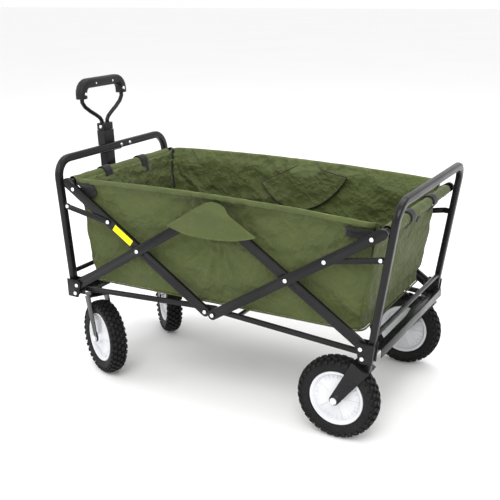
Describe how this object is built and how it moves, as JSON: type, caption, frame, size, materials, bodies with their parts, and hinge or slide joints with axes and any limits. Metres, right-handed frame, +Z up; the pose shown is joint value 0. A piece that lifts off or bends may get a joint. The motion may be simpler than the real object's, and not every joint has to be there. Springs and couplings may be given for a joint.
{
  "type": "folding camp wagon",
  "caption": "Folding utility wagon: fabric tub in a double-scissor steel frame with leaning end hoops, fixed rear wheels, swivel front casters and a telescoping pull handle.",
  "frame": {"origin": "bottom centre of the bounding box, on the ground under the middle of the wagon", "axes": "+X from the handle end towards the rear (fixed wheels), +Y towards the far side of the picture, +Z up"},
  "size_m": [0.9556, 0.529, 0.7637],
  "materials": {
    "frame_steel": "satin powder coat",
    "zinc_steel": "bright zinc plate",
    "tyre": "matt black tread",
    "hub_plastic": "off-white moulded",
    "black_plastic": "fine moulded texture",
    "fabric": "woven polyester, olive green"
  },
  "bodies": {
    "rear_frame": {"rear_hoop": "frame_steel", "rear_cross_channel": "frame_steel", "rear_cross_bar": "frame_steel", "rear_bracket_near": "frame_steel", "rear_bracket_far": "frame_steel", "rear_fork_near": "frame_steel", "rear_fork_far": "frame_steel", "rear_axle_near": "zinc_steel", "rear_axle_far": "zinc_steel"},
    "rear_wheel_near": {"rear_tyre_near": "tyre", "rear_hub_near": "hub_plastic"},
    "rear_wheel_far": {"rear_tyre_far": "tyre", "rear_hub_far": "hub_plastic"},
    "rear_lower_arms": {"rear_lower_arm_near": "frame_steel", "rear_lower_arm_far": "frame_steel"},
    "rear_upper_arms": {"rear_upper_arm_near": "frame_steel", "rear_upper_arm_far": "frame_steel", "rear_top_tube": "frame_steel"},
    "top_brackets": {"top_bracket_near": "frame_steel", "top_bracket_far": "frame_steel", "fabric_tub": "fabric"},
    "bottom_brackets": {"bottom_bracket_near": "frame_steel", "bottom_bracket_far": "frame_steel"},
    "front_lower_arms": {"front_lower_arm_near": "frame_steel", "front_lower_arm_far": "frame_steel"},
    "front_upper_arms": {"front_upper_arm_near": "frame_steel", "front_upper_arm_far": "frame_steel", "front_top_tube": "frame_steel"},
    "front_frame": {"front_hoop": "frame_steel", "front_cross_channel": "frame_steel", "front_cross_bar": "frame_steel", "front_bracket_near": "frame_steel", "front_bracket_far": "frame_steel", "caster_mount_near": "frame_steel", "caster_mount_far": "frame_steel", "handle_yoke": "frame_steel", "handle_clip": "black_plastic"},
    "rear_links": {"rear_link_near": "frame_steel", "rear_link_far": "frame_steel"},
    "front_links": {"front_link_near": "frame_steel", "front_link_far": "frame_steel"},
    "rear_rail": {"rear_floor_rail": "frame_steel"},
    "front_rail": {"front_floor_rail": "frame_steel"},
    "caster_near": {"caster_fork_near": "frame_steel", "caster_axle_near": "zinc_steel"},
    "caster_far": {"caster_fork_far": "frame_steel", "caster_axle_far": "zinc_steel"},
    "front_wheel_near": {"front_tyre_near": "tyre", "front_hub_near": "hub_plastic"},
    "front_wheel_far": {"front_tyre_far": "tyre", "front_hub_far": "hub_plastic"},
    "handle": {"handle_tube": "frame_steel", "handle_collar": "black_plastic"},
    "handle_grip": {"handle_inner_tube": "frame_steel", "handle_socket": "black_plastic", "handle_wire_near": "frame_steel", "handle_wire_far": "frame_steel", "handle_grip": "black_plastic"}
  },
  "joints": [
    {"name": "fold", "type": "hinge", "parent": "rear_frame", "child": "rear_lower_arms", "pos_m": [0.39817, 0, 0.23216], "axis": [0, 1, 0], "range_deg": [0, 39], "deforming": ["fabric_tub"]},
    {"name": "rear_upper_arms_turn", "type": "hinge", "parent": "rear_lower_arms", "child": "rear_upper_arms", "pos_m": [0.21338, 0, 0.36088], "axis": [0, 1, 0], "range_deg": [-78.01, 0]},
    {"name": "top_brackets_turn", "type": "hinge", "parent": "rear_lower_arms", "child": "top_brackets", "pos_m": [0.02858, 0, 0.4896], "axis": [0, 1, 0], "range_deg": [-39.01, 0]},
    {"name": "front_lower_arms_turn", "type": "hinge", "parent": "top_brackets", "child": "front_lower_arms", "pos_m": [0.0021, 0, 0.49046], "axis": [0, 1, 0], "range_deg": [-39.01, 0]},
    {"name": "front_upper_arms_turn", "type": "hinge", "parent": "front_lower_arms", "child": "front_upper_arms", "pos_m": [-0.19066, 0, 0.374], "axis": [0, 1, 0], "range_deg": [0, 78.01]},
    {"name": "bottom_brackets_turn", "type": "hinge", "parent": "rear_upper_arms", "child": "bottom_brackets", "pos_m": [0.02062, 0, 0.24442], "axis": [0, 1, 0], "range_deg": [0, 39.01]},
    {"name": "front_frame_turn", "type": "hinge", "parent": "front_lower_arms", "child": "front_frame", "pos_m": [-0.38342, 0, 0.25754], "axis": [0, 1, 0], "range_deg": [0, 39.01]},
    {"name": "rear_links_turn", "type": "hinge", "parent": "rear_frame", "child": "rear_links", "pos_m": [0.43291, 0, 0.43615], "axis": [0, 1, 0], "range_deg": [0, 70.83]},
    {"name": "front_links_turn", "type": "hinge", "parent": "front_frame", "child": "front_links", "pos_m": [-0.40485, 0, 0.46335], "axis": [0, 1, 0], "range_deg": [-70.83, 0]},
    {"name": "rear_rail_turn", "type": "hinge", "parent": "rear_frame", "child": "rear_rail", "pos_m": [0.40246, 0, 0.21001], "axis": [0, 1, 0], "range_deg": [0, 63.17]},
    {"name": "front_rail_turn", "type": "hinge", "parent": "front_frame", "child": "front_rail", "pos_m": [-0.38913, 0, 0.23571], "axis": [0, 1, 0], "range_deg": [-63.17, 0]},
    {"name": "rear_wheel_near_spin", "type": "hinge", "parent": "rear_frame", "child": "rear_wheel_near", "pos_m": [0.34081, -0.232, 0.09865], "axis": [0, 1, 0], "continuous": true},
    {"name": "rear_wheel_far_spin", "type": "hinge", "parent": "rear_frame", "child": "rear_wheel_far", "pos_m": [0.34081, 0.232, 0.09865], "axis": [0, 1, 0], "continuous": true},
    {"name": "caster_near_swivel", "type": "hinge", "parent": "front_frame", "child": "caster_near", "pos_m": [-0.39553, -0.1656, 0.10002], "axis": [0.0325, 0, 0.9995], "continuous": true},
    {"name": "front_wheel_near_spin", "type": "hinge", "parent": "caster_near", "child": "front_wheel_near", "pos_m": [-0.35317, -0.18813, 0.09865], "axis": [0.4692, 0.8829, -0.0152], "continuous": true},
    {"name": "caster_far_swivel", "type": "hinge", "parent": "front_frame", "child": "caster_far", "pos_m": [-0.39553, 0.1656, 0.10002], "axis": [0.0325, 0, 0.9995], "continuous": true},
    {"name": "front_wheel_far_spin", "type": "hinge", "parent": "caster_far", "child": "front_wheel_far", "pos_m": [-0.36161, 0.13166, 0.09892], "axis": [0.7067, 0.7071, -0.023], "continuous": true},
    {"name": "handle_pivot", "type": "hinge", "parent": "front_frame", "child": "handle", "pos_m": [-0.44197, 0, 0.24143], "axis": [0, -1, 0], "range_deg": [0, 90]},
    {"name": "handle_extend", "type": "slide", "parent": "handle", "child": "handle_grip", "axis": [-0.0434, 0, 0.9991], "range_m": [0, 0.3]}
  ],
  "couplings": [
    {"joint": "rear_upper_arms_turn", "follows": "fold", "ratio": -2},
    {"joint": "top_brackets_turn", "follows": "fold", "ratio": -1},
    {"joint": "front_lower_arms_turn", "follows": "fold", "ratio": -1},
    {"joint": "front_upper_arms_turn", "follows": "fold", "ratio": 2},
    {"joint": "bottom_brackets_turn", "follows": "fold", "ratio": 1},
    {"joint": "front_frame_turn", "follows": "fold", "ratio": 1},
    {"joint": "rear_links_turn", "follows": "fold", "ratio": 1.8157},
    {"joint": "front_links_turn", "follows": "fold", "ratio": -1.8157},
    {"joint": "rear_rail_turn", "follows": "fold", "ratio": 1.6193},
    {"joint": "front_rail_turn", "follows": "fold", "ratio": -1.6193}
  ]
}
